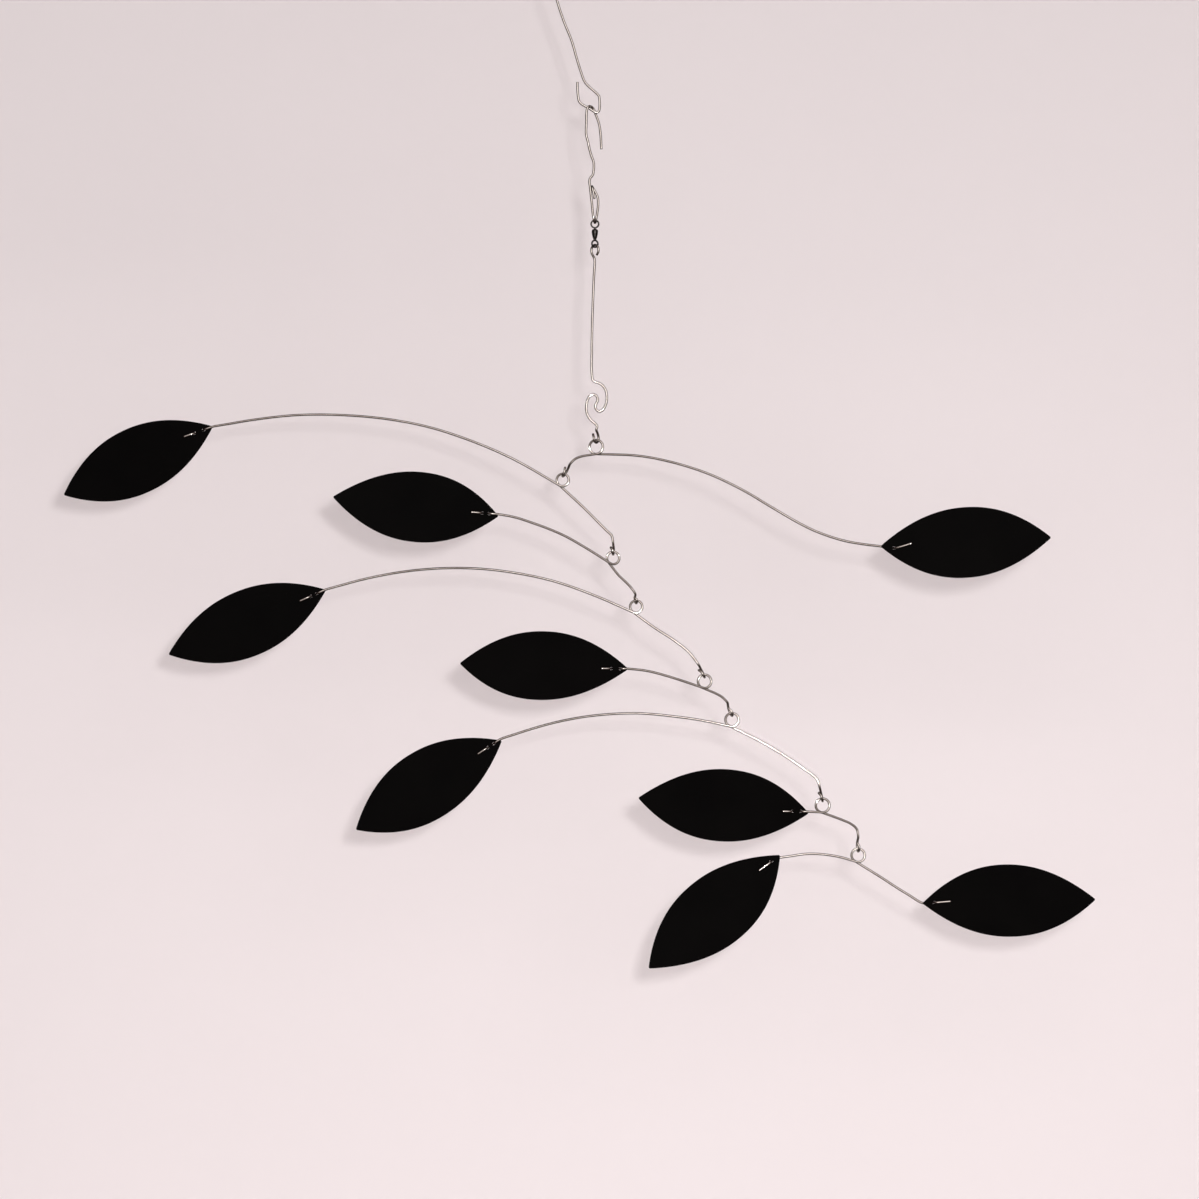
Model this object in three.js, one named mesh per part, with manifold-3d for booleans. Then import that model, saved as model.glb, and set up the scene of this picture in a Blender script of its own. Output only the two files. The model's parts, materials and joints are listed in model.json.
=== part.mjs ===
// A hanging mobile: nine black leaves balanced on eight bent wire arms, under a barrel swivel.
// Millimetres, +Z up, the front faces -Y. The origin is the middle of the hanging eye.

import * as THREE from 'three';
import { mergeVertices } from 'three/addons/utils/BufferGeometryUtils.js';
import Module from 'manifold-3d';

// Driving dimensions

const WIRE = 1.2; // diameter of every bent wire
const WIRE_SIDES = 6;
const WIRE_GAP = 0.15; // air between wires that hang in one another
const LINK_OVERLAP = WIRE + WIRE_GAP; // a ring's top wire above the eye's bottom wire
const COIL_LAY = 1.3; // depth between a ring's two legs where they cross

const LEAF_SHEET = 0.6;
const LEAF_BLUNT = 0.4; // half width of the cut at each tip
const LEAF_FACETS = 10; // straight cuts along each side

const LEAF_BOW = 2.1; // a side's curve: 2 is a parabola, and more is fuller towards the tips

const SLOT_WIDTH = 1.3;
const SLOT_LENGTH = 2.2;
const SLOT_RUN = 0.3; // past each end of a slot, where the wire is back at its full depth
const STITCH_DEPTH = LEAF_SHEET / 2 + WIRE / 2 + WIRE_GAP; // wire axis from the sheet's middle

const EYE_WIDTH = 4.4; // across the wire's axis, in every teardrop eye
const EYE_LENGTH = 7; // from the neck to the bottom
const FREE_END_ASIDE = 1.1; // an eye's free end from the plane of the rest

const HANGING_EYE = { radius: 4.6, from: 215, to: -80, steps: 12 }; // wire axis, degrees from +X

const SWIVEL_X = -0.55;
const SWIVEL_WIRE = 0.85;
const SWIVEL_TOP_RING = { z: -156.65, radius: 1.88 };
const SWIVEL_BARREL_TOP = -159.1;
const SWIVEL_BOTTOM_RING = { z: -166.55, radius: 1.72 };
const SWIVEL_BOTTOM_TURN = 30; // the bottom ring's plane from the front plane
const SWIVEL_STEM = 0.72; // diameter

// Materials

const steel = new THREE.MeshStandardMaterial({ color: 0xc4c0bd, roughness: 0.28, metalness: 1 });
const nickel = new THREE.MeshStandardMaterial({ color: 0x2b2827, roughness: 0.35, metalness: 1 });
const leafBlack = new THREE.MeshStandardMaterial({ color: 0x0b0a0a, roughness: 0.75, metalness: 0 });

// Shared helpers

const wasm = await Module();
wasm.setup();

const rad = THREE.MathUtils.degToRad;
const at = ([x, z], y = 0) => new THREE.Vector3(x, y, z);
const at3 = ([x, y, z]) => new THREE.Vector3(x, y, z);

const WELD = 1e-4; // points nearer than this are one point

// A smooth curve whose even steps fall on its own points, however near or far apart they are.
class WirePath extends THREE.CatmullRomCurve3 {
  getUtoTmapping(u) {
    return u;
  }
}

function roundSection(radius, sides) {
  const section = new THREE.Shape();
  for (let i = 0; i < sides; i += 1) {
    const a = (2 * Math.PI * i) / sides;
    if (i === 0) section.moveTo(radius * Math.cos(a), radius * Math.sin(a));
    else section.lineTo(radius * Math.cos(a), radius * Math.sin(a));
  }
  return section;
}

function wireGeometry(points) {
  return new THREE.ExtrudeGeometry(roundSection(WIRE / 2, WIRE_SIDES), {
    steps: points.length - 1,
    extrudePath: new WirePath(points),
    curveSegments: 1,
  });
}

// Even steps along a smooth curve through a few points.
function spread(points, step) {
  const curve = new THREE.CatmullRomCurve3(points);
  return curve.getSpacedPoints(Math.max(2, Math.round(curve.getLength() / step)));
}

function named(name, geometry, material) {
  const mesh = new THREE.Mesh(geometry, material);
  mesh.name = name;
  return mesh;
}

function toManifold(geometry) {
  const bare = geometry.clone();
  bare.deleteAttribute('normal');
  bare.deleteAttribute('uv');
  const merged = mergeVertices(bare, WELD);
  return new wasm.Manifold(
    new wasm.Mesh({
      numProp: 3,
      vertProperties: new Float32Array(merged.attributes.position.array),
      triVerts: new Uint32Array(merged.index.array),
    }),
  );
}

function fromManifold(solid) {
  const { vertProperties, triVerts } = solid.getMesh();
  const geometry = new THREE.BufferGeometry();
  geometry.setAttribute('position', new THREE.BufferAttribute(vertProperties, 3));
  geometry.setIndex(new THREE.BufferAttribute(triVerts, 1));
  geometry.computeVertexNormals();
  return geometry;
}

// Leaves: two bows between blunt tips, with the slots that the wire is threaded through.
// The near tip is at the origin, the leaf runs along +X and its sheet is square to Y.
// A knot is how far along the leaf the wire is at its full depth on one face: -1 the front, 1 the
// back. A slot is where its near end is along the leaf. Both lie `across` it by a few tenths,
// from `from` at the tip to `to` at the wire's own end, because they are made by hand.

function acrossLeaf(end, [from, to], sag = 0) {
  return (along) => {
    const t = along / end;
    return from + (to - from) * t + 4 * sag * t * (1 - t);
  };
}

const throughSlot = (slot, face) => [
  [slot - SLOT_RUN, face],
  [slot + SLOT_LENGTH + SLOT_RUN, -face],
];

// Over the tip, down at `first`, behind the bridge, and up at `second` to a dash on the front.
function over(first, second, end, fromTo) {
  const slots = [first - SLOT_LENGTH, second];
  const knots = [[0, -1], ...throughSlot(slots[0], -1), ...throughSlot(slots[1], 1), [end, -1]];
  return { slots, knots, across: acrossLeaf(end, fromTo) };
}

// Behind the leaf from `start`, then through one slot to a long dash on the front.
function under(slot, end, fromTo, { start = 0, sag = 0 } = {}) {
  const knots = [[start, 1], ...throughSlot(slot, 1), [end, -1]];
  return { slots: [slot], knots, across: acrossLeaf(end, fromTo, sag) };
}

const SLOT_END_FACETS = 4; // round each half-round end

function slotHole(slot, across) {
  const r = SLOT_WIDTH / 2;
  const points = [];
  for (const [centre, turn] of [[slot + SLOT_LENGTH - r, -90], [slot + r, 90]]) {
    for (let i = 0; i <= SLOT_END_FACETS; i += 1) {
      const a = rad(turn + (180 * i) / SLOT_END_FACETS);
      const along = centre + r * Math.cos(a);
      points.push(new THREE.Vector2(along, across(along) + r * Math.sin(a)));
    }
  }
  return new THREE.Path(points);
}

// One edge from the near tip to the far one: a bow whose widest point is drawn along the leaf.
function leafEdge(length, [halfWidth, shift]) {
  const edge = [];
  for (let i = 0; i <= LEAF_FACETS; i += 1) {
    const u = (2 * i) / LEAF_FACETS - 1;
    const along = (length / 2) * (1 + u) + shift * (1 - u ** 2);
    const across = LEAF_BLUNT + (halfWidth - LEAF_BLUNT) * (1 - Math.abs(u) ** LEAF_BOW);
    edge.push([along, across]);
  }
  return edge;
}

function leafGeometry({ end, length, above, below, stitch }) {
  // A leaf at an arm's left end is turned half round, so its upper edge is on its own -Z side.
  const [plus, minus] = end === 'left' ? [below, above] : [above, below];
  const lower = leafEdge(length, minus).map(([along, across]) => new THREE.Vector2(along, -across));
  const upper = leafEdge(length, plus).map(([along, across]) => new THREE.Vector2(along, across));
  const outline = new THREE.Shape([...lower, ...upper.reverse()]);
  outline.holes = stitch.slots.map((slot) => slotHole(slot, stitch.across));
  const sheet = { depth: LEAF_SHEET, bevelEnabled: false };
  return new THREE.ExtrudeGeometry(outline, sheet)
    .translate(0, 0, -LEAF_SHEET / 2)
    .rotateX(Math.PI / 2);
}

const SLOT_FACETS = [0.25, 0.5, 0.75]; // parts of the way from one face to the other

// The wire's points through a leaf, from its near tip inwards, in the arm's own frame.
// Between knots on opposite faces of the sheet the wire passes through a slot.
function stitchPoints(leaf, wireY) {
  const { knots, across } = leaf.stitch;
  const sheetY = wireY - knots[0][1] * STITCH_DEPTH;
  const tilt = rad(leaf.tilt);
  const points = [];
  const place = (along, depth) => {
    const x = leaf.tip[0] + along * Math.cos(tilt) - across(along) * Math.sin(tilt);
    const z = leaf.tip[1] + along * Math.sin(tilt) + across(along) * Math.cos(tilt);
    points.push(new THREE.Vector3(x, sheetY + depth * STITCH_DEPTH, z));
  };
  knots.forEach(([along, face], i) => {
    place(along, face);
    const next = knots[i + 1];
    if (!next || next[1] === face) return;
    for (const t of SLOT_FACETS) {
      place(along + t * (next[0] - along), face * Math.cos(Math.PI * t));
    }
  });
  return { points, sheetY };
}

const EYE_FACET = 30; // degrees round an eye's bottom

// Teardrop eyes: down one side, round the bottom and up to the free end beside the neck.
// Lateral and height from the bottom of the eye, both on the wire's axis. The free end also
// stands aside, square to both.
function teardrop(length) {
  const r = EYE_WIDTH / 2;
  const outline = [
    [0, length],
    [0.5 * r, 0.78 * length],
    [0.95 * r, 0.48 * length],
  ];
  for (let a = 0; a >= -180; a -= EYE_FACET) {
    outline.push([r * Math.cos(rad(a)), r + r * Math.sin(rad(a))]);
  }
  outline.push([-0.95 * r, 0.4 * length]);
  outline.push([-0.8 * r, 0.55 * length, -0.55 * FREE_END_ASIDE]);
  outline.push([-0.55 * r, 0.68 * length, -FREE_END_ASIDE]);
  return outline;
}

// An eye's points in space: its bottom, the direction up to its neck, and its lateral direction.
function eyePoints(bottom, up, lateral, outline) {
  const third = lateral.clone().cross(up);
  return outline.map(([side, height, aside = 0]) =>
    bottom
      .clone()
      .addScaledVector(up, height)
      .addScaledVector(lateral, side)
      .addScaledVector(third, aside),
  );
}

const RING_FACETS = 13;

// A one-turn ring round the arm's own origin, tangent to the wires that come from and go to.
function ringPoints(radius, from, to) {
  const start = Math.atan2(from.z, from.x) + Math.acos(radius / Math.hypot(from.x, from.z));
  const end = Math.atan2(to.z, to.x) - Math.acos(radius / Math.hypot(to.x, to.z));
  let turn = end - start;
  while (turn < 1.5 * Math.PI) turn += 2 * Math.PI;
  const points = [];
  for (let i = 0; i <= RING_FACETS; i += 1) {
    const a = start + (turn * i) / RING_FACETS;
    const y = COIL_LAY * (i / RING_FACETS - 0.5);
    points.push(new THREE.Vector3(radius * Math.cos(a), y, radius * Math.sin(a)));
  }
  return points;
}

// Arms. Each one's frame has its ring's middle at the origin and its wire in the XZ plane.
// `left` and `right` are the bends between the ring and that end, from left to right.
// `yaw` turns the arm about the plumb line, seen from above, from the object's own frame.
// `link` is where the next arm's ring hangs, in an eye `eye` long whose neck leans right by `lean`.
// `tip` is the leaf's near tip, `tilt` its direction from there. `above` and `below` are each edge's
// widest half width and how far past the leaf's middle it lies, because the leaves are cut by hand.

const ARMS = [
  {
    yaw: -12,
    ring: 8.2,
    left: [[-12.7, -7.7], [-9.5, -5.3]],
    right: [
      [21.6, -4.6], [39.1, -8.1], [56.7, -13.8], [74.2, -22.1],
      [91.5, -32.4], [108.9, -41.9], [126.1, -47.7],
    ],
    link: { at: [-17, -16.4], lean: 31 },
    leaves: [
      {
        name: 'leaf_1', end: 'right', tip: [143.1, -50.2], tilt: 2.8, length: 82.5,
        above: [17, 1.2], below: [17.5, -0.9], stitch: under(5.1, 15.2, [0, 0.7], { sag: -1.45 }),
      },
    ],
  },
  {
    yaw: -8,
    ring: 7.4,
    left: [
      [-157.7, 31.5], [-135.4, 33.6], [-113.2, 33.4], [-91, 31.4],
      [-69, 27.2], [-47, 20.1], [-25.2, 10.7],
    ],
    right: [[11.5, -14.8], [17.9, -21.2], [23.3, -26.7], [25.4, -29]],
    link: { at: [25.4, -39.1], lean: 0, eye: 5.5 },
    leaves: [
      {
        name: 'leaf_2', end: 'left', tip: [-180.5, 28.1], tilt: -156.2, length: 85,
        above: [17.3, 0.6], below: [16.8, 0.7], stitch: over(5.9, 8.7, 15.4, [0.2, -1.2]),
      },
    ],
  },
  {
    yaw: 13,
    ring: 7.4,
    left: [[-52.4, 20.6], [-39, 16.5], [-25.5, 11.2], [-12, 3.7]],
    right: [[3.2, -8.9], [8.5, -13.8], [10.6, -16.9]],
    link: { at: [12, -24.4], lean: -5, eye: 4.6 },
    leaves: [
      {
        name: 'leaf_3', end: 'left', tip: [-58.7, 20.6], tilt: 173.8, length: 82.5,
        above: [17.3, -2.4], below: [17.5, 0.2], stitch: over(5.6, 6.9, 13.8, [-0.9, -0.4]),
      },
    ],
  },
  {
    yaw: -5,
    ring: 7.4,
    left: [
      [-138.1, 13.8], [-118.7, 17.5], [-99.4, 19.3], [-80.1, 19.2],
      [-60.9, 17], [-41.7, 12.9], [-22.5, 6.3],
    ],
    right: [[8.9, -10.3], [19.1, -16.9], [26.6, -22.9]],
    link: { at: [34.3, -37.3], lean: -26 },
    leaves: [
      {
        name: 'leaf_4', end: 'left', tip: [-157.6, 8.4], tilt: -157.9, length: 86.5,
        above: [16.4, -0.2], below: [17.4, 0.8], stitch: over(5.8, 7, 14.1, [-0.1, 0.3]),
      },
    ],
  },
  {
    yaw: 13,
    ring: 7.9,
    left: [[-35.7, 6.5], [-26.5, 4.6], [-17.5, 2.2]],
    right: [[4.4, -5.5], [8, -7.1], [10.6, -9.2]],
    link: { at: [14.4, -19.4], lean: -20 },
    leaves: [
      {
        name: 'leaf_5', end: 'left', tip: [-39.6, 6.4], tilt: 177.9, length: 84.5,
        above: [17.3, 0.1], below: [16.8, 2.7], stitch: over(4.8, 7.3, 13.7, [-0.1, 0.2]),
      },
    ],
  },
  {
    yaw: -5,
    ring: 7.9,
    left: [
      [-102.1, -5.2], [-87.9, -1.3], [-73.7, 1.4], [-59.7, 2.8],
      [-45.6, 3.1], [-31.5, 1.9], [-15, -0.3],
    ],
    right: [
      [12.7, -10], [20.6, -14.4], [28.3, -19.2],
      [36.2, -24.6], [40.7, -27.9], [42.8, -30.1],
    ],
    link: { at: [45.3, -42.7], lean: -12 },
    leaves: [
      {
        name: 'leaf_6', end: 'left', tip: [-116.6, -11.1], tilt: -148.6, length: 86.5,
        above: [18.3, 0.3], below: [17.1, 1.8], stitch: over(5.2, 6.4, 13.6, [-1, -0.5]),
      },
    ],
  },
  {
    yaw: 10,
    ring: 8.1,
    left: [],
    right: [[8.6, -6.8], [14.8, -9.5], [17.8, -12.2]],
    link: { at: [18.5, -25.3], lean: 0 },
    leaves: [
      {
        name: 'leaf_7', end: 'left', tip: [-7.4, -3.8], tilt: 174.4, length: 86.5,
        above: [18.2, -1.6], below: [17.9, 1.6], stitch: over(4.7, 7.2, 13.4, [-0.8, 0.2]),
      },
    ],
  },
  {
    yaw: 3,
    ring: 7.8,
    left: [[-39.9, -1.8], [-35.5, -0.6], [-31, 0.6], [-21.9, 0.8], [-12.7, 0]],
    right: [[15.3, -13.5], [23.3, -18.8], [29.6, -22.2]],
    leaves: [
      {
        name: 'leaf_8', end: 'left', tip: [-39.8, 0.2], tilt: -139.5, length: 86,
        above: [17.8, 1.4], below: [18.3, -2.2], stitch: under(3.9, 12.8, [-0.1, -1.1], { start: 3 }),
      },
      {
        name: 'leaf_9', end: 'right', tip: [32.8, -24.2], tilt: 1, length: 87,
        above: [18.6, -1.8], below: [17.8, 1.2], stitch: under(4.4, 13.8, [0, 0.8]),
      },
    ],
  },
];

const STEM_STEP = 9; // length of the wire's straight facets along a leaf's long stem
const TAIL_STEP = 4; // and on the way down to an eye

const ringRadius = (arm) => (arm.ring - WIRE) / 2;

// The bottom of the eye that carries the next ring, on the wire's axis.
function eyeBottom(arm, next, wireY) {
  return at(arm.link.at, wireY).add(new THREE.Vector3(0, 0, ringRadius(next) - LINK_OVERLAP));
}

function armEye(arm, next, wireY) {
  const lean = rad(arm.link.lean);
  const up = new THREE.Vector3(Math.sin(lean), 0, Math.cos(lean));
  const outline = teardrop(arm.link.eye ?? EYE_LENGTH);
  return eyePoints(eyeBottom(arm, next, wireY), up, new THREE.Vector3(0, 1, 0), outline);
}

// One end of an arm, from the ring outwards: its bends, then its eye or its stitches.
function armEnd(arm, next, end) {
  const side = end === 'left' ? -1 : 1;
  const wireY = (side * COIL_LAY) / 2;
  const bends = arm[end].map((p) => at(p, wireY));
  if (end === 'left') bends.reverse();
  const leaf = arm.leaves.find((l) => l.end === end);
  const finish = leaf ? stitchPoints(leaf, wireY).points : armEye(arm, next, wireY);
  return { bends, finish, step: leaf ? STEM_STEP : TAIL_STEP };
}

function armPoints(arm, next) {
  const left = armEnd(arm, next, 'left');
  const right = armEnd(arm, next, 'right');
  const [from, to] = [left, right].map(({ bends, finish }) => bends[0] ?? finish[0]);
  const ring = ringPoints(ringRadius(arm), from, to);
  const half = ({ bends, finish, step }, start) => {
    const arc = spread([start, ...bends, finish[0]], step);
    return [...arc.slice(1), ...finish.slice(1)];
  };
  return [...half(left, ring[0]).reverse(), ...ring, ...half(right, ring.at(-1))];
}

function armGroup(index) {
  const arm = ARMS[index];
  const group = new THREE.Group();
  group.add(named(`arm_${index + 1}`, wireGeometry(armPoints(arm, ARMS[index + 1])), steel));
  for (const leaf of arm.leaves) {
    const wireY = ((leaf.end === 'left' ? -1 : 1) * COIL_LAY) / 2;
    const mesh = named(leaf.name, leafGeometry(leaf), leafBlack);
    mesh.position.set(leaf.tip[0], stitchPoints(leaf, wireY).sheetY, leaf.tip[1]);
    mesh.rotation.y = -rad(leaf.tilt);
    group.add(mesh);
  }
  return group;
}

// Each arm hangs in the eye of the one above it.
function hangArms(first) {
  let above = first;
  ARMS.forEach((arm, i) => {
    const group = armGroup(i);
    group.rotation.z = rad(arm.yaw - (i ? ARMS[i - 1].yaw : 0));
    above.add(group);
    const next = arm.link;
    if (!next) return;
    const eye = new THREE.Group();
    const wireY = ((next.at[0] < 0 ? -1 : 1) * COIL_LAY) / 2;
    eye.position.set(next.at[0], wireY, next.at[1]);
    group.add(eye);
    above = eye;
  });
}

// Hanger wire: a closed eye, a long bow to the left and a squared open hook.

function hangingEye() {
  const { radius, from, to, steps } = HANGING_EYE;
  const points = [];
  for (let i = 0; i <= steps; i += 1) {
    const a = rad(from + ((to - from) * i) / steps);
    points.push([radius * Math.cos(a), radius * Math.sin(a)]);
  }
  return points;
}

function hangerWire() {
  const bow = [
    [-0.6, -4.6], [-4, -5], [-11.5, -8.5], [-19, -16], [-22.4, -26], [-22, -36], [-19.5, -45],
    [-16.2, -55], [-12.2, -65], [-9.3, -75], [-7.4, -81], [-5.6, -85.6], [-3.1, -88.4],
  ];
  const hook = [
    [0.6, -91.6], [1.5, -92.8], [1.75, -94.4], [1.75, -98.9], [1.3, -100.4], [0.2, -100.9],
    [-4, -98.5], [-7.2, -96.7], [-8.4, -95.4], [-8.8, -93.6], [-9.2, -90.2], [-9.3, -85.7],
  ];
  const points = [...hangingEye(), ...bow, ...hook].map((p) => at(p));
  return named('hanger_wire', wireGeometry(points), steel);
}

// Hook wire: over the hanger's bar, down, and a long loop through the swivel's top ring.

function hookWire() {
  const bend = [
    [2.7, 0.6, -119.2], [2.3, 0.8, -112], [1.7, 1, -107.3], [0.9, 1.2, -104.4], [-0.2, 1.3, -101.6],
    [-1, 1.2, -99.4], [-1.8, 0.8, -98.3], [-2.7, 0, -97.9], [-3.5, -1, -97.95], [-4.3, -1.35, -98.9],
    [-4.7, -1.35, -101], [-4.85, -1.2, -107.3], [-4.9, -1, -112], [-4, -0.8, -115.7],
  ];
  const shaft = [
    [-3.3, -0.6, -119.2], [-2.4, -0.5, -122.4], [-1.2, -0.4, -125.9], [-1.15, -0.5, -129.6],
    [-1.7, -0.7, -132.4], [-2.9, -0.8, -133.8], [-3.3, -0.9, -135.6], [-3, -0.95, -138],
  ];
  const loop = [
    [-2.6, -1.1, -141.6], [-2.1, -1.3, -146.2], [-1.5, -1.6, -152.2], [-1.1, -1.5, -154.2],
    [-0.85, -0.9, -155.6], [-0.55, 0, -156.1], [-0.25, 0.9, -155.6], [0, 1.6, -154.2],
    [0.5, 1.9, -151.5], [1.1, 2, -146.5], [0.8, 2, -143], [-0.4, 1.95, -140.3],
    [-1.7, 1.7, -138.2], [-2.1, 1.05, -137.6], [-1.9, 0.4, -138.5], [-1.2, 0.3, -141.4], [-0.8, 0.3, -144],
  ];
  return named('hook_wire', wireGeometry([...bend, ...shaft, ...loop].map(at3)), steel);
}

// Swivel: two small rings whose stems end in heads inside a hollow barrel.

const BARREL = {
  length: 5.5,
  shoulder: 0.8, // from either end to the step that holds a head
  // Radius and height from the barrel's top.
  outside: [
    [0.72, 0], [1.25, -0.15], [1.56, -0.75], [1.56, -1.7],
    [1.34, -3.2], [0.98, -4.7], [0.72, -5.5],
  ],
  inside: [
    [0.5, -5.5], [0.5, -4.9], [0.68, -4.7], [0.95, -3.2],
    [1.15, -1.8], [1.15, -0.8], [0.5, -0.5], [0.5, 0],
  ],
};
const BARREL_SIDES = 10;
const HEAD_HEIGHT = 0.5;
const HEAD_CLEAR = 0.15;
const HEAD_DIAMETER = { top: 1.6, bottom: 1.16 };
const STEM_SIDES = 8;
const SWIVEL_RING_SIDES = 6;
const SWIVEL_RING_FACETS = 14;

function lathe(profile, sides) {
  const points = profile.map(([r, z]) => new THREE.Vector2(r, z));
  return new THREE.LatheGeometry(points, sides).rotateX(Math.PI / 2);
}

function swivelBarrel() {
  const { outside, inside } = BARREL;
  const loop = [...outside, ...inside, outside[0]].reverse();
  const mesh = named('swivel_barrel', lathe(loop, BARREL_SIDES), nickel);
  mesh.position.set(SWIVEL_X, 0, SWIVEL_BARREL_TOP);
  return mesh;
}

// A stem from the ring's edge to its head, in heights from the ring's middle.
function stemProfile(start, end, headDiameter) {
  const neck = end - Math.sign(end) * HEAD_HEIGHT;
  const profile = [
    [0, start],
    [SWIVEL_STEM / 2, start],
    [SWIVEL_STEM / 2, neck],
    [headDiameter / 2, neck],
    [headDiameter / 2, end],
    [0, end],
  ];
  return end < 0 ? profile.reverse() : profile;
}

// A ring whose stem points down from its bottom, or up from its top, to a head inside the barrel.
function swivelRing(name, ring, stemEnd, headDiameter) {
  const { radius, z } = ring;
  const loop = new THREE.TorusGeometry(radius, SWIVEL_WIRE / 2, SWIVEL_RING_SIDES, SWIVEL_RING_FACETS);
  const end = stemEnd - z;
  const stem = lathe(stemProfile(Math.sign(end) * radius, end, headDiameter), STEM_SIDES);
  const solid = toManifold(loop.rotateX(Math.PI / 2)).add(toManifold(stem));
  const mesh = named(name, fromManifold(solid), nickel);
  mesh.position.set(SWIVEL_X, 0, z);
  return mesh;
}

function swivelTopRing() {
  const shoulder = SWIVEL_BARREL_TOP - BARREL.shoulder;
  const stemEnd = shoulder - HEAD_CLEAR - HEAD_HEIGHT;
  return swivelRing('swivel_top_ring', SWIVEL_TOP_RING, stemEnd, HEAD_DIAMETER.top);
}

function swivelBottomRing() {
  const shoulder = SWIVEL_BARREL_TOP - BARREL.length + BARREL.shoulder;
  const stemEnd = shoulder + HEAD_CLEAR + HEAD_HEIGHT;
  const ring = swivelRing('swivel_bottom_ring', SWIVEL_BOTTOM_RING, stemEnd, HEAD_DIAMETER.bottom);
  ring.rotation.z = rad(SWIVEL_BOTTOM_TURN);
  return ring;
}

// Suspension wire: an oval eye in the swivel's bottom ring, a long shaft, a scroll and an eye.

const UPPER_EYE_TURN = -42; // the upper eye's plane from the front plane
const UPPER_EYE = [
  // Lateral and height from the top of the eye, from its free end round to the shaft.
  [1.2, -5.2], [2.2, -3.8], [2.35, -2.2], [1.6, -0.7], [0, 0], [-1.6, -0.7],
  [-2.35, -2.2], [-2.2, -3.8], [-1.3, -5.4], [-0.3, -6.9],
];
const SUSPENSION_EYE_BOTTOM = [0.1, -266];
const SUSPENSION_EYE_TURN = 32; // from edge-on, seen from the front
const SUSPENSION_EYE_LENGTH = 6.4;

function suspensionWire() {
  const up = new THREE.Vector3(0, 0, 1);
  const upperTurn = rad(UPPER_EYE_TURN);
  const across = new THREE.Vector3(Math.cos(upperTurn), Math.sin(upperTurn), 0);
  const ringBottom = SWIVEL_BOTTOM_RING.z - SWIVEL_BOTTOM_RING.radius;
  const eyeTop = at([SWIVEL_X, ringBottom + (WIRE + SWIVEL_WIRE) / 2 + WIRE_GAP]);
  const upperEye = eyePoints(eyeTop, up, across, UPPER_EYE);
  const shaft = [[-1.1, -184], [-1.55, -195.5], [-1.9, -207], [-2.1, -218.5], [-2.05, -232]];
  const scroll = [
    [-1.35, -235], [1.6, -236.3], [3.35, -237.5], [4.85, -239.8], [5.4, -242.5], [5.25, -245.5],
    [4.35, -248.2], [3, -250], [1.35, -250.4], [0.1, -249.4], [-0.35, -247.6], [0.3, -246.1],
    [0.85, -244.5], [0.35, -242.8], [-1.2, -241.8], [-2.85, -242.5], [-4.05, -244.3], [-4.7, -246.8],
    [-4.9, -249.5], [-4.05, -252.5], [-2.35, -254.9], [-0.4, -256.5], [0.6, -258],
  ];
  const turn = rad(SUSPENSION_EYE_TURN);
  const lateral = new THREE.Vector3(Math.sin(turn), Math.cos(turn), 0);
  const lowerEye = eyePoints(at(SUSPENSION_EYE_BOTTOM), up, lateral, teardrop(SUSPENSION_EYE_LENGTH));
  const flat = [...shaft, ...scroll].map((p) => at(p));
  return named('suspension_wire', wireGeometry([...upperEye, ...flat, ...lowerEye]), steel);
}

// Assembly

const group = new THREE.Group();
group.add(hangerWire(), hookWire(), swivelTopRing(), swivelBarrel(), swivelBottomRing());
group.add(suspensionWire());

const firstLink = new THREE.Group();
firstLink.position.set(
  SUSPENSION_EYE_BOTTOM[0],
  0,
  SUSPENSION_EYE_BOTTOM[1] + LINK_OVERLAP - ringRadius(ARMS[0]),
);
group.add(firstLink);
hangArms(firstLink);

export default group;
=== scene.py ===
"""A hanging mobile: nine black leaves balanced on eight bent steel wire arms, under a barrel swivel."""

import json
import math

import bmesh
import bpy
import numpy as np
from mathutils import Matrix, Vector


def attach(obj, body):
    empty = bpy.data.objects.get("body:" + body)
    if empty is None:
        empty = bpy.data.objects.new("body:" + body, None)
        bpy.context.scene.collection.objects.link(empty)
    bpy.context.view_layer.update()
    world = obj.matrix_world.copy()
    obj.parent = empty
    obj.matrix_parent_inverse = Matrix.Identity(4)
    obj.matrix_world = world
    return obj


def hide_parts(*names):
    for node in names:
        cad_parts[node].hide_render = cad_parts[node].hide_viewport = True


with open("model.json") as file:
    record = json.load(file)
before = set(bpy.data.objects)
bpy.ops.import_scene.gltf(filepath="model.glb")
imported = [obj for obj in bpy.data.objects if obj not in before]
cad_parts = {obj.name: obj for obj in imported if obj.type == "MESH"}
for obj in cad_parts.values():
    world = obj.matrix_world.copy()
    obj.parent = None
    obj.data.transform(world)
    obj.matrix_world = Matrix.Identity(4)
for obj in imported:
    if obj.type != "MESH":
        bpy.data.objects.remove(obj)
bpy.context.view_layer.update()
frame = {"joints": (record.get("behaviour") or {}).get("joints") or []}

# Driving dimensions, in millimetres as in the part's source

MM = 0.001
WIRE = 1.2
WIRE_GAP = 0.15
LINK_OVERLAP = WIRE + WIRE_GAP
COIL_LAY = 1.3

LEAF_SHEET = 0.6
LEAF_BLUNT = 0.4
LEAF_BOW = 2.1  # a side's curve: 2 is a parabola, and more is fuller towards the tips
LEAF_STEPS = 48
LEAF_ROUND = 0.12  # rounding along every cut edge
SLOT_WIDTH = 1.3
SLOT_LENGTH = 2.2
SLOT_RUN = 0.3  # past each end of a slot, where the wire is back at its full depth
SLOT_STEPS = 10
STITCH_DEPTH = LEAF_SHEET / 2 + WIRE / 2 + WIRE_GAP

EYE_WIDTH = 4.4
EYE_LENGTH = 7
FREE_END_ASIDE = 1.1
EYE_STEP_DEG = 15
RING_STEPS = 30

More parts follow.
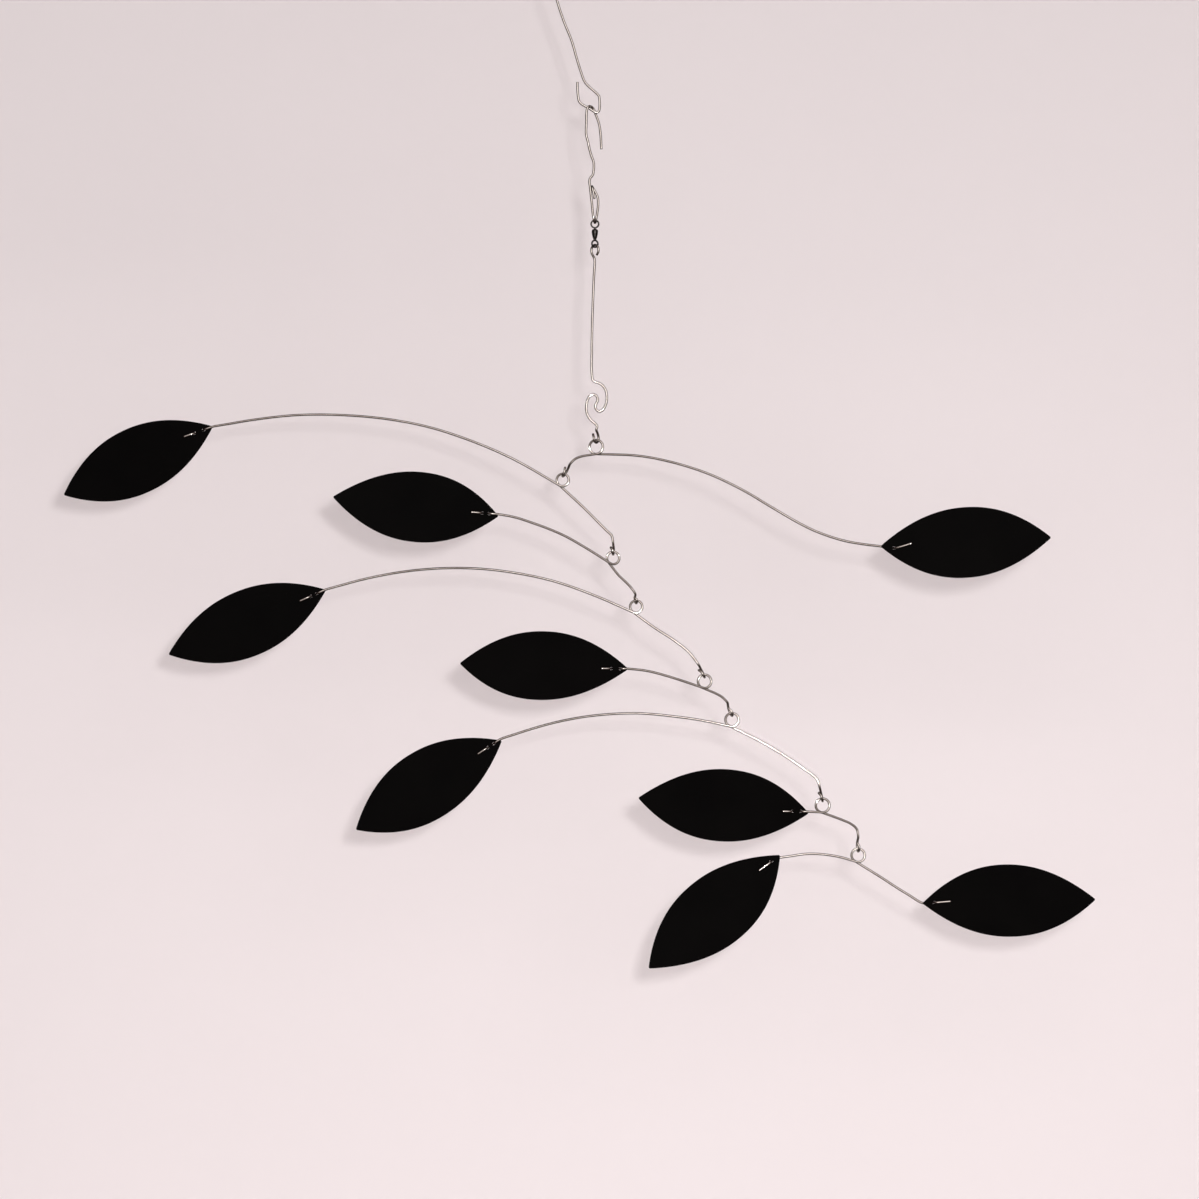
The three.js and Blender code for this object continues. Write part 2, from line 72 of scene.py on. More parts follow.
STEM_STEP = 9  # between the points that a long stem's curve passes through
TAIL_STEP = 4
CURVE_STEP = 0.05  # the share of a span between a smooth curve's fine points
TUBE_STEP = 0.7  # between the rings of a wire's own mesh
TUBE_SIDES = 16
CUT_END = 0.8  # how wide a cut end's flat is, as a share of the wire
CUT_ROUND = 0.15  # the length of the rounding behind it
UV_UNIT = 10  # the length of wire to one unit of its texture

HANGING_EYE_RADIUS = 4.6
HANGING_EYE_FROM = 215
HANGING_EYE_TO = -80
HANGING_EYE_POINTS = 25

SWIVEL_X = -0.55
SWIVEL_WIRE = 0.85
SWIVEL_TOP_RING = {"z": -156.65, "radius": 1.88}
SWIVEL_BARREL_TOP = -159.1
SWIVEL_BOTTOM_RING = {"z": -166.55, "radius": 1.72}
SWIVEL_BOTTOM_TURN = 30
SWIVEL_STEM = 0.72
BARREL_LENGTH = 5.5
BARREL_SHOULDER = 0.8
HEAD_HEIGHT = 0.5
HEAD_CLEAR = 0.15
HEAD_TOP = 1.6
HEAD_BOTTOM = 1.16
BARREL_SIDES = 40
STEM_SIDES = 24
RING_AROUND = 56
RING_SECTION = 16
NEAR_AXIS = 0.0005  # where a turned end closes

UPPER_EYE_TURN = -42
SUSPENSION_EYE_BOTTOM = (0.1, -266)
SUSPENSION_EYE_TURN = 32
SUSPENSION_EYE_LENGTH = 6.4


# Paths

def at(point, y=0.0):
    """A point of the front plane, or of one beside it."""
    return np.array([point[0], y, point[1]], float)


def catmull(points, step):
    """Even samples, a step apart, of the smooth curve through points."""
    points = [np.asarray(p, float) for p in points]
    ends = [2 * points[0] - points[1], *points, 2 * points[-1] - points[-2]]
    fine = []
    for p0, p1, p2, p3 in zip(ends, ends[1:], ends[2:], ends[3:]):
        d0, d1, d2 = (math.sqrt(np.linalg.norm(b - a)) for a, b in ((p0, p1), (p1, p2), (p2, p3)))
        t1 = d1 * ((p1 - p0) / d0 - (p2 - p0) / (d0 + d1) + (p2 - p1) / d1)
        t2 = d1 * ((p2 - p1) / d1 - (p3 - p1) / (d1 + d2) + (p3 - p2) / d2)
        for t in np.arange(0, 1, CURVE_STEP):
            fine.append(
                p1 + t1 * t + (3 * (p2 - p1) - 2 * t1 - t2) * t**2 + (2 * (p1 - p2) + t1 + t2) * t**3
            )
    fine = np.array([*fine, points[-1]])
    lengths = np.r_[0, np.cumsum(np.linalg.norm(np.diff(fine, axis=0), axis=1))]
    count = max(2, round(lengths[-1] / step))
    even = np.linspace(0, lengths[-1], count + 1)
    return [np.array([np.interp(s, lengths, fine[:, k]) for k in range(3)]) for s in even]


def teardrop(length):
    """Lateral, height and aside of an eye's wire: down one side, round, and up to the free end."""
    r = EYE_WIDTH / 2
    outline = [(0, length, 0), (0.5 * r, 0.78 * length, 0), (0.95 * r, 0.48 * length, 0)]
    for a in range(0, -181, -EYE_STEP_DEG):
        outline.append((r * math.cos(math.radians(a)), r + r * math.sin(math.radians(a)), 0))
    outline.append((-0.95 * r, 0.4 * length, 0))
    outline.append((-0.8 * r, 0.55 * length, -0.55 * FREE_END_ASIDE))
    outline.append((-0.55 * r, 0.68 * length, -FREE_END_ASIDE))
    return outline


def eye_points(bottom, up, lateral, outline):
    third = np.cross(lateral, up)
    return [bottom + height * up + side * lateral + aside * third for side, height, aside in outline]


# Wires

ASIDE = (0.3, 1, 0.2)  # a direction that no wire starts along


def tube(name, points, diameter=WIRE):
    """A round wire of that diameter along points, with lightly rounded cut ends."""
    line = np.array(catmull(points, TUBE_STEP))
    radius = diameter / 2
    run = np.r_[0, np.cumsum(np.linalg.norm(np.diff(line, axis=0), axis=1))]
    tangents = np.gradient(line, axis=0)
    tangents /= np.linalg.norm(tangents, axis=1)[:, None]
    side = np.cross(tangents[0], ASIDE)
    rings = []
    for i, (point, tangent) in enumerate(zip(line, tangents)):
        side = side - tangent * (side @ tangent)
        side /= np.linalg.norm(side)
        other = np.cross(tangent, side)
        wide = radius * (CUT_END if i in (0, len(line) - 1) else 1)
        ring = []
        for k in range(TUBE_SIDES):
            a = 2 * math.pi * k / TUBE_SIDES
            ring.append(point + wide * (math.cos(a) * side + math.sin(a) * other))
        rings.append(ring)
    # A short shoulder behind each cut end keeps the rounding there small.
    for index, end, step in ((1, 0, 1), (-1, -1, -1)):
        inward = tangents[end] * step * CUT_ROUND
        full = [line[end] + inward + (p - line[end]) / CUT_END for p in rings[end]]
        rings.insert(index if end == 0 else len(rings) - 1, full)
        run = np.insert(run, index if end == 0 else len(run) - 1, run[end] + step * CUT_ROUND)
    mesh = bpy.data.meshes.new(name)
    verts = [Vector(p) * MM for ring in rings for p in ring]
    faces = []
    for i in range(len(rings) - 1):
        for k in range(TUBE_SIDES):
            a, b = i * TUBE_SIDES + k, i * TUBE_SIDES + (k + 1) % TUBE_SIDES
            faces.append((a, b, b + TUBE_SIDES, a + TUBE_SIDES))
    faces.append(tuple(reversed(range(TUBE_SIDES))))
    last = (len(rings) - 1) * TUBE_SIDES
    faces.append(tuple(range(last, last + TUBE_SIDES)))
    mesh.from_pydata(verts, [], faces)
    uv = mesh.uv_layers.new(name="along")
    for poly in mesh.polygons[:-2]:
        i, k = divmod(poly.index, TUBE_SIDES)
        for loop, (di, dk) in zip(poly.loop_indices, ((0, 0), (0, 1), (1, 1), (1, 0))):
            uv.data[loop].uv = (run[i + di] / UV_UNIT, (k + dk) / TUBE_SIDES)
    for poly in mesh.polygons:
        poly.use_smooth = len(poly.vertices) == 4
    return add(name, mesh)


def add(name, mesh):
    piece = bpy.data.objects.new(name, mesh)
    bpy.context.scene.collection.objects.link(piece)
    return piece


# Leaves

def across_leaf(end, ends, sag=0.0):
    """How far across the leaf the stitches lie, at a length along it."""
    def across(along):
        t = along / end
        return ends[0] + (ends[1] - ends[0]) * t + 4 * sag * t * (1 - t)

    return across


def through_slot(slot, face):
    return [(slot - SLOT_RUN, face), (slot + SLOT_LENGTH + SLOT_RUN, -face)]


def over(first, second, end, ends):
    """Over the tip, down at first, behind the bridge, and up at second to a dash on the front."""
    slots = [first - SLOT_LENGTH, second]
    knots = [(0, -1), *through_slot(slots[0], -1), *through_slot(slots[1], 1), (end, -1)]
    return {"slots": slots, "knots": knots, "across": across_leaf(end, ends)}


def under(slot, end, ends, start=0, sag=0.0):
    """Behind the leaf from start, then through one slot to a long dash on the front."""
    knots = [(start, 1), *through_slot(slot, 1), (end, -1)]
    return {"slots": [slot], "knots": knots, "across": across_leaf(end, ends, sag)}


def leaf_edge(length, half_width, shift):
    """One edge from the near tip to the far one: a bow whose widest point is drawn along."""
    edge = []
    for i in range(LEAF_STEPS + 1):
        u = 2 * i / LEAF_STEPS - 1
        along = length / 2 * (1 + u) + shift * (1 - u**2)
        edge.append((along, LEAF_BLUNT + (half_width - LEAF_BLUNT) * (1 - abs(u) ** LEAF_BOW)))
    return edge


def slot_hole(slot, across):
    r = SLOT_WIDTH / 2
    hole = []
    for centre, turn in ((slot + SLOT_LENGTH - r, -90), (slot + r, 90)):
        for i in range(SLOT_STEPS + 1):
            a = math.radians(turn + 180 * i / SLOT_STEPS)
            along = centre + r * math.cos(a)
            hole.append((along, across(along) + r * math.sin(a)))
    return hole


def leaf_mesh(leaf):
    """The cut sheet in its own frame: the near tip at the origin, along +X, square to Y."""
    plus, minus = (
        (leaf["below"], leaf["above"]) if leaf["end"] == "left" else (leaf["above"], leaf["below"])
    )
    lower = [(x, -across) for x, across in leaf_edge(leaf["length"], *minus)]
    upper = leaf_edge(leaf["length"], *plus)
    outlines = [lower + upper[::-1]]
    stitch = leaf["stitch"]
    outlines += [slot_hole(slot, stitch["across"]) for slot in stitch["slots"]]
    flat = bpy.data.curves.new(leaf["name"], "CURVE")
    flat.dimensions = "2D"
    flat.fill_mode = "BOTH"
    flat.extrude = (LEAF_SHEET / 2 - LEAF_ROUND) * MM
    flat.bevel_depth = LEAF_ROUND * MM
    flat.bevel_resolution = 2
    flat.offset = -LEAF_ROUND * MM
    for outline in outlines:
        spline = flat.splines.new("POLY")
        spline.points.add(len(outline) - 1)
        for point, (x, y) in zip(spline.points, outline):
            point.co = (x * MM, y * MM, 0, 1)
        spline.use_cyclic_u = True
    holder = add(leaf["name"] + "_outline", flat)
    graph = bpy.context.evaluated_depsgraph_get()
    mesh = bpy.data.meshes.new_from_object(holder.evaluated_get(graph))
    bpy.data.objects.remove(holder)
    bpy.data.curves.remove(flat)
    sheet = bmesh.new()
    sheet.from_mesh(mesh)
    bmesh.ops.remove_doubles(sheet, verts=sheet.verts, dist=1e-6)
    bmesh.ops.recalc_face_normals(sheet, faces=sheet.faces)
    rim = sheet.faces.layers.float.new("rim")
    for face in sheet.faces:
        flat_face = abs(face.normal.z) > 0.999
        face.smooth = not flat_face
        face[rim] = 0.0 if flat_face else 1.0
    sheet.to_mesh(mesh)
    sheet.free()
    mesh.transform(Matrix.Rotation(math.radians(90), 4, "X"))
    mesh.name = leaf["name"]
    return mesh


def stitch_points(leaf, wire_y):
    """The wire's points through a leaf, and the depth of the sheet's middle."""
    knots, across = leaf["stitch"]["knots"], leaf["stitch"]["across"]
    sheet_y = wire_y - knots[0][1] * STITCH_DEPTH
    tilt = math.radians(leaf["tilt"])
    points = []

    def place(along, depth):
        x = leaf["tip"][0] + along * math.cos(tilt) - across(along) * math.sin(tilt)
        z = leaf["tip"][1] + along * math.sin(tilt) + across(along) * math.cos(tilt)
        points.append(np.array([x, sheet_y + depth * STITCH_DEPTH, z]))

    for (along, face), (after, other) in zip(knots, [*knots[1:], (None, None)]):
        place(along, face)
        if other is None or other == face:
            continue
        for t in (0.25, 0.5, 0.75):
            place(along + t * (after - along), face * math.cos(math.pi * t))
    return points, sheet_y


# Arms

ARMS = [
    {
        "yaw": -12,
        "ring": 8.2,
        "left": [(-12.7, -7.7), (-9.5, -5.3)],
        "right": [
            (21.6, -4.6), (39.1, -8.1), (56.7, -13.8), (74.2, -22.1),
            (91.5, -32.4), (108.9, -41.9), (126.1, -47.7),
        ],
        "link": {"at": (-17, -16.4), "lean": 31},
        "leaves": [
            {
                "name": "leaf_1", "end": "right", "tip": (143.1, -50.2), "tilt": 2.8,
                "length": 82.5, "above": (17, 1.2), "below": (17.5, -0.9),
                "stitch": under(5.1, 15.2, (0, 0.7), sag=-1.45),
            },
        ],
    },
    {
        "yaw": -8,
        "ring": 7.4,
        "left": [
            (-157.7, 31.5), (-135.4, 33.6), (-113.2, 33.4), (-91, 31.4),
            (-69, 27.2), (-47, 20.1), (-25.2, 10.7),
        ],
        "right": [(11.5, -14.8), (17.9, -21.2), (23.3, -26.7), (25.4, -29)],
        "link": {"at": (25.4, -39.1), "lean": 0, "eye": 5.5},
        "leaves": [
            {
                "name": "leaf_2", "end": "left", "tip": (-180.5, 28.1), "tilt": -156.2,
                "length": 85, "above": (17.3, 0.6), "below": (16.8, 0.7),
                "stitch": over(5.9, 8.7, 15.4, (0.2, -1.2)),
            },
        ],
    },
    {
        "yaw": 13,
        "ring": 7.4,
        "left": [(-52.4, 20.6), (-39, 16.5), (-25.5, 11.2), (-12, 3.7)],
        "right": [(3.2, -8.9), (8.5, -13.8), (10.6, -16.9)],
        "link": {"at": (12, -24.4), "lean": -5, "eye": 4.6},
        "leaves": [
            {
                "name": "leaf_3", "end": "left", "tip": (-58.7, 20.6), "tilt": 173.8,
                "length": 82.5, "above": (17.3, -2.4), "below": (17.5, 0.2),
                "stitch": over(5.6, 6.9, 13.8, (-0.9, -0.4)),
            },
        ],
    },
    {
        "yaw": -5,
        "ring": 7.4,
        "left": [
            (-138.1, 13.8), (-118.7, 17.5), (-99.4, 19.3), (-80.1, 19.2),
            (-60.9, 17), (-41.7, 12.9), (-22.5, 6.3),
        ],
        "right": [(8.9, -10.3), (19.1, -16.9), (26.6, -22.9)],
        "link": {"at": (34.3, -37.3), "lean": -26},
        "leaves": [
            {
                "name": "leaf_4", "end": "left", "tip": (-157.6, 8.4), "tilt": -157.9,
                "length": 86.5, "above": (16.4, -0.2), "below": (17.4, 0.8),
                "stitch": over(5.8, 7, 14.1, (-0.1, 0.3)),
            },
        ],
    },
    {
        "yaw": 13,
        "ring": 7.9,
        "left": [(-35.7, 6.5), (-26.5, 4.6), (-17.5, 2.2)],
        "right": [(4.4, -5.5), (8, -7.1), (10.6, -9.2)],
        "link": {"at": (14.4, -19.4), "lean": -20},
        "leaves": [
            {
                "name": "leaf_5", "end": "left", "tip": (-39.6, 6.4), "tilt": 177.9,
                "length": 84.5, "above": (17.3, 0.1), "below": (16.8, 2.7),
                "stitch": over(4.8, 7.3, 13.7, (-0.1, 0.2)),
            },
        ],
    },
    {
        "yaw": -5,
        "ring": 7.9,
        "left": [
            (-102.1, -5.2), (-87.9, -1.3), (-73.7, 1.4), (-59.7, 2.8),
            (-45.6, 3.1), (-31.5, 1.9), (-15, -0.3),
        ],
        "right": [
            (12.7, -10), (20.6, -14.4), (28.3, -19.2),
            (36.2, -24.6), (40.7, -27.9), (42.8, -30.1),
        ],
        "link": {"at": (45.3, -42.7), "lean": -12},
        "leaves": [
            {
                "name": "leaf_6", "end": "left", "tip": (-116.6, -11.1), "tilt": -148.6,
                "length": 86.5, "above": (18.3, 0.3), "below": (17.1, 1.8),
                "stitch": over(5.2, 6.4, 13.6, (-1, -0.5)),
            },
        ],
    },
    {
        "yaw": 10,
        "ring": 8.1,
        "left": [],
        "right": [(8.6, -6.8), (14.8, -9.5), (17.8, -12.2)],
        "link": {"at": (18.5, -25.3), "lean": 0},
        "leaves": [
            {
                "name": "leaf_7", "end": "left", "tip": (-7.4, -3.8), "tilt": 174.4,
                "length": 86.5, "above": (18.2, -1.6), "below": (17.9, 1.6),
                "stitch": over(4.7, 7.2, 13.4, (-0.8, 0.2)),
            },
        ],
    },
    {
        "yaw": 3,
        "ring": 7.8,
        "left": [(-39.9, -1.8), (-35.5, -0.6), (-31, 0.6), (-21.9, 0.8), (-12.7, 0)],
        "right": [(15.3, -13.5), (23.3, -18.8), (29.6, -22.2)],
        "leaves": [
            {
                "name": "leaf_8", "end": "left", "tip": (-39.8, 0.2), "tilt": -139.5,
                "length": 86, "above": (17.8, 1.4), "below": (18.3, -2.2),
                "stitch": under(3.9, 12.8, (-0.1, -1.1), start=3),
            },
            {
                "name": "leaf_9", "end": "right", "tip": (32.8, -24.2), "tilt": 1,
                "length": 87, "above": (18.6, -1.8), "below": (17.8, 1.2),
                "stitch": under(4.4, 13.8, (0, 0.8)),
            },
        ],
    },
]


def ring_radius(arm):
    return (arm["ring"] - WIRE) / 2


def ring_points(radius, start_from, go_to):
    """A one-turn ring round the arm's origin, tangent to the wires at its two ends."""
    start = math.atan2(start_from[2], start_from[0])
    start += math.acos(radius / math.hypot(start_from[0], start_from[2]))
    end = math.atan2(go_to[2], go_to[0]) - math.acos(radius / math.hypot(go_to[0], go_to[2]))
    turn = end - start
    while turn < 1.5 * math.pi:
        turn += 2 * math.pi
    points = []
    for i in range(RING_STEPS + 1):
        a = start + turn * i / RING_STEPS
        y = COIL_LAY * (i / RING_STEPS - 0.5)
        points.append(np.array([radius * math.cos(a), y, radius * math.sin(a)]))
    return points


def arm_eye(arm, after, wire_y):
    lean = math.radians(arm["link"]["lean"])
    up = np.array([math.sin(lean), 0, math.cos(lean)])
    bottom = at(arm["link"]["at"], wire_y) + (0, 0, ring_radius(after) - LINK_OVERLAP)
    outline = teardrop(arm["link"].get("eye", EYE_LENGTH))
    return eye_points(bottom, up, np.array([0, 1, 0]), outline)


def arm_end(arm, after, end):
    """One end of an arm, from the ring outwards: its bends, then its eye or its stitches."""
    wire_y = (-1 if end == "left" else 1) * COIL_LAY / 2
    bends = [at(p, wire_y) for p in arm[end]]
    if end == "left":
        bends.reverse()
    leaf = next((one for one in arm["leaves"] if one["end"] == end), None)
    finish = stitch_points(leaf, wire_y)[0] if leaf else arm_eye(arm, after, wire_y)
    return bends, finish, STEM_STEP if leaf else TAIL_STEP


def arm_points(arm, after):
    left = arm_end(arm, after, "left")
    right = arm_end(arm, after, "right")
    ring = ring_points(ring_radius(arm), *((side[0] or side[1])[0] for side in (left, right)))

    def half(side, start):
        bends, finish, step = side
        return catmull([start, *bends, finish[0]], step)[1:] + finish[1:]

    return half(left, ring[0])[::-1] + ring + half(right, ring[-1])


def build_arm(index):
    arm = ARMS[index]
    body = f"balance_arm_{index + 1}"
    joint = next(j for j in frame["joints"] if j["child"] == body)
    place = Matrix.Translation(joint["pos_m"]) @ Matrix.Rotation(math.radians(arm["yaw"]), 4, "Z")
    after = ARMS[index + 1] if index + 1 < len(ARMS) else None
    wire = tube(f"wire_arm_{index + 1}", arm_points(arm, after))
    wire.data.transform(place)
    dress(wire, body, STEEL, f"arm_{index + 1}")
    for leaf in arm["leaves"]:
        wire_y = (-1 if leaf["end"] == "left" else 1) * COIL_LAY / 2
        sheet_y = stitch_points(leaf, wire_y)[1]
        mesh = leaf_mesh(leaf)
        mesh.transform(Matrix.Rotation(-math.radians(leaf["tilt"]), 4, "Y"))
        mesh.transform(Matrix.Translation(Vector((leaf["tip"][0], sheet_y, leaf["tip"][1])) * MM))
        mesh.transform(place)
        dress(add(f"sheet_{leaf['name']}", mesh), body, LEAF_BLACK, leaf["name"])


def dress(piece, body, material, node):
    """Gives a finished piece its material and its body, and hides the node it stands for."""
    piece.data.materials.clear()
    piece.data.materials.append(material)
    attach(piece, body)
    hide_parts(node)


# Hanger wire and hook wire

def build_hanger():
    eye = []
    for a in np.linspace(HANGING_EYE_FROM, HANGING_EYE_TO, HANGING_EYE_POINTS):
        turn = math.radians(a)
        eye.append((HANGING_EYE_RADIUS * math.cos(turn), HANGING_EYE_RADIUS * math.sin(turn)))
    bow = [
        (-0.6, -4.6), (-4, -5), (-11.5, -8.5), (-19, -16), (-22.4, -26), (-22, -36), (-19.5, -45),
        (-16.2, -55), (-12.2, -65), (-9.3, -75), (-7.4, -81), (-5.6, -85.6), (-3.1, -88.4),
    ]
    hook = [
        (0.6, -91.6), (1.5, -92.8), (1.75, -94.4), (1.75, -98.9), (1.3, -100.4), (0.2, -100.9),
        (-4, -98.5), (-7.2, -96.7), (-8.4, -95.4), (-8.8, -93.6), (-9.2, -90.2), (-9.3, -85.7),
    ]
    wire = tube("wire_hanger", [at(p) for p in eye + bow + hook])
    dress(wire, "hanger", STEEL, "hanger_wire")


def build_hook():
    bend = [
        (2.7, 0.6, -119.2), (2.3, 0.8, -112), (1.7, 1, -107.3), (0.9, 1.2, -104.4), (-0.2, 1.3, -101.6),
        (-1, 1.2, -99.4), (-1.8, 0.8, -98.3), (-2.7, 0, -97.9), (-3.5, -1, -97.95), (-4.3, -1.35, -98.9),
        (-4.7, -1.35, -101), (-4.85, -1.2, -107.3), (-4.9, -1, -112), (-4, -0.8, -115.7),
    ]
    shaft = [
        (-3.3, -0.6, -119.2), (-2.4, -0.5, -122.4), (-1.2, -0.4, -125.9), (-1.15, -0.5, -129.6),
        (-1.7, -0.7, -132.4), (-2.9, -0.8, -133.8), (-3.3, -0.9, -135.6), (-3, -0.95, -138),
    ]
    loop = [
        (-2.6, -1.1, -141.6), (-2.1, -1.3, -146.2), (-1.5, -1.6, -152.2), (-1.1, -1.5, -154.2),
        (-0.85, -0.9, -155.6), (-0.55, 0, -156.1), (-0.25, 0.9, -155.6), (0, 1.6, -154.2),
        (0.5, 1.9, -151.5), (1.1, 2, -146.5), (0.8, 2, -143), (-0.4, 1.95, -140.3),
        (-1.7, 1.7, -138.2), (-2.1, 1.05, -137.6), (-1.9, 0.4, -138.5), (-1.2, 0.3, -141.4),
        (-0.8, 0.3, -144),
    ]
    dress(tube("wire_hook", bend + shaft + loop), "hanger", STEEL, "hook_wire")


# Swivel

def lathe(sheet, profile, x, z, steps):
    """Adds a turned shape to a bmesh: a closed profile of radius and height above z."""
    rings = []
    for r, h in profile:
        ring = []
        for k in range(steps):
            a = 2 * math.pi * k / steps
            ring.append(sheet.verts.new(Vector((x + r * math.cos(a), r * math.sin(a), z + h)) * MM))
        rings.append(ring)
    for ring, above in zip(rings, [*rings[1:], rings[0]]):
        for k in range(steps):
            j = (k + 1) % steps
            sheet.faces.new((ring[k], ring[j], above[j], above[k]))


def finish_mesh(name, sheet, angle=35):
    """Merges, turns every face out and smooths a bmesh, but for its edges sharper than angle."""
    bmesh.ops.remove_doubles(sheet, verts=sheet.verts, dist=1e-7)
    bmesh.ops.recalc_face_normals(sheet, faces=sheet.faces)
    mesh = bpy.data.meshes.new(name)
    sheet.to_mesh(mesh)
    sheet.free()
    for poly in mesh.polygons:
        poly.use_smooth = True
    mesh.set_sharp_from_angle(angle=math.radians(angle))
    return mesh


def build_barrel():
    outside = [
        (0.56, 0), (0.72, -0.03), (0.8, -0.12), (0.84, -0.25), (1.16, -0.3), (1.27, -0.38),
        (1.42, -0.55), (1.52, -0.75), (1.56, -1.0), (1.57, -1.35), (1.56, -1.7), (1.53, -2.05),
        (1.47, -2.5), (1.38, -3.0), (1.27, -3.5), (1.14, -4.0), (1.02, -4.45), (0.93, -4.75),
        (0.87, -4.9), (0.8, -5.0), (0.78, -5.15), (0.78, -5.38), (0.72, -5.5), (0.56, -5.5),
    ]
    inside = [(0.5, -5.45), (0.5, -4.9), (0.68, -4.7), (0.95, -3.2), (1.15, -1.8), (1.15, -0.8),
              (0.5, -0.5), (0.5, -0.06)]
    sheet = bmesh.new()
    lathe(sheet, outside + inside, SWIVEL_X, SWIVEL_BARREL_TOP, BARREL_SIDES)
    barrel = add("turned_swivel_barrel", finish_mesh("swivel_barrel", sheet))
    dress(barrel, "hanger", NICKEL, "swivel_barrel")


def build_swivel_ring(name, ring, stem_end, head, turn, body):
    """A round wire ring whose neck flares into a stem, with its head inside the barrel."""
    sheet = bmesh.new()
    rows = []
    for i in range(RING_AROUND):
        a = 2 * math.pi * i / RING_AROUND
        row = []
        for k in range(RING_SECTION):
            b = 2 * math.pi * k / RING_SECTION
            r = ring["radius"] + SWIVEL_WIRE / 2 * math.cos(b)
            point = Vector((r * math.cos(a), SWIVEL_WIRE / 2 * math.sin(b), r * math.sin(a)))
            row.append(sheet.verts.new(point * MM))
        rows.append(row)
    for row, after in zip(rows, [*rows[1:], rows[0]]):
        for k in range(RING_SECTION):
            j = (k + 1) % RING_SECTION
            sheet.faces.new((row[k], row[j], after[j], after[k]))
    end = stem_end - ring["z"]
    out = math.copysign(1, end)
    edge = out * (ring["radius"] + SWIVEL_WIRE / 2)
    neck = end - out * HEAD_HEIGHT
    stem = SWIVEL_STEM / 2
    profile = [
        (NEAR_AXIS, edge - out * 0.5), (0.5, edge - out * 0.42), (0.47, edge - out * 0.1),
        (stem, edge + out * 0.12), (stem, neck), (head / 2, neck), (head / 2, end), (NEAR_AXIS, end),
    ]
    lathe(sheet, profile, 0, 0, STEM_SIDES)
    mesh = finish_mesh(name, sheet)
    mesh.transform(Matrix.Rotation(math.radians(turn), 4, "Z"))
    mesh.transform(Matrix.Translation(Vector((SWIVEL_X, 0, ring["z"])) * MM))
    dress(add(f"round_{name}", mesh), body, NICKEL, name)


def build_swivel():
    build_barrel()
    top = SWIVEL_BARREL_TOP - BARREL_SHOULDER - HEAD_CLEAR - HEAD_HEIGHT
    build_swivel_ring("swivel_top_ring", SWIVEL_TOP_RING, top, HEAD_TOP, 0, "hanger")
    bottom = SWIVEL_BARREL_TOP - BARREL_LENGTH + BARREL_SHOULDER + HEAD_CLEAR + HEAD_HEIGHT
    build_swivel_ring(
        "swivel_bottom_ring", SWIVEL_BOTTOM_RING, bottom, HEAD_BOTTOM, SWIVEL_BOTTOM_TURN, "suspension"
    )


# Suspension wire

def build_suspension():
    up = np.array([0, 0, 1])
    turn = math.radians(UPPER_EYE_TURN)
    across = np.array([math.cos(turn), math.sin(turn), 0])
    upper = [
        (1.2, -5.2, 0), (2.2, -3.8, 0), (2.35, -2.2, 0), (1.6, -0.7, 0), (0, 0, 0), (-1.6, -0.7, 0),
        (-2.35, -2.2, 0), (-2.2, -3.8, 0), (-1.3, -5.4, 0), (-0.3, -6.9, 0),
    ]
    ring_bottom = SWIVEL_BOTTOM_RING["z"] - SWIVEL_BOTTOM_RING["radius"]
    eye_top = at((SWIVEL_X, ring_bottom + (WIRE + SWIVEL_WIRE) / 2 + WIRE_GAP))
    shaft = [(-1.1, -184), (-1.55, -195.5), (-1.9, -207), (-2.1, -218.5), (-2.05, -232)]
    scroll = [
        (-1.35, -235), (1.6, -236.3), (3.35, -237.5), (4.85, -239.8), (5.4, -242.5), (5.25, -245.5),
        (4.35, -248.2), (3, -250), (1.35, -250.4), (0.1, -249.4), (-0.35, -247.6), (0.3, -246.1),
        (0.85, -244.5), (0.35, -242.8), (-1.2, -241.8), (-2.85, -242.5), (-4.05, -244.3), (-4.7, -246.8),
        (-4.9, -249.5), (-4.05, -252.5), (-2.35, -254.9), (-0.4, -256.5), (0.6, -258),
    ]
    turn = math.radians(SUSPENSION_EYE_TURN)
    lateral = np.array([math.sin(turn), math.cos(turn), 0])
    points = eye_points(eye_top, up, across, upper)
    points += [at(p) for p in shaft + scroll]
    points += eye_points(at(SUSPENSION_EYE_BOTTOM), up, lateral, teardrop(SUSPENSION_EYE_LENGTH))
    dress(tube("wire_suspension", points), "suspension", STEEL, "suspension_wire")


# Materials

def new_material(name):
    material = bpy.data.materials.new(name)
    material.use_nodes = True
    nodes = material.node_tree.nodes
    return material, nodes, material.node_tree.links, nodes["Principled BSDF"]


def mapped(nodes, links, output, scale):
    """A coordinate, stretched."""
    mapping = nodes.new("ShaderNodeMapping")
    mapping.inputs["Scale"].default_value = scale
    links.new(output, mapping.inputs["Vector"])
    return mapping.outputs["Vector"]


def noise(nodes, links, vector, scale, detail=3.0, roughness=0.5):
    texture = nodes.new("ShaderNodeTexNoise")
    texture.inputs["Scale"].default_value = scale
    texture.inputs["Detail"].default_value = detail
    texture.inputs["Roughness"].default_value = roughness
    links.new(vector, texture.inputs["Vector"])
    return texture.outputs["Fac"]


def ramp(nodes, links, fac, stops):
    """A colour ramp through (position, (r, g, b)) stops."""
    node = nodes.new("ShaderNodeValToRGB")
    elements = node.color_ramp.elements
    while len(elements) < len(stops):
        elements.new(0.5)
    for element, (position, colour) in zip(elements, stops):
        element.position = position
        element.color = (*colour, 1)
    links.new(fac, node.inputs["Fac"])
    return node.outputs["Color"]


def spread_value(nodes, links, fac, low, high):
    node = nodes.new("ShaderNodeMapRange")
    node.inputs["To Min"].default_value = low
    node.inputs["To Max"].default_value = high
    links.new(fac, node.inputs["Value"])
    return node.outputs["Result"]


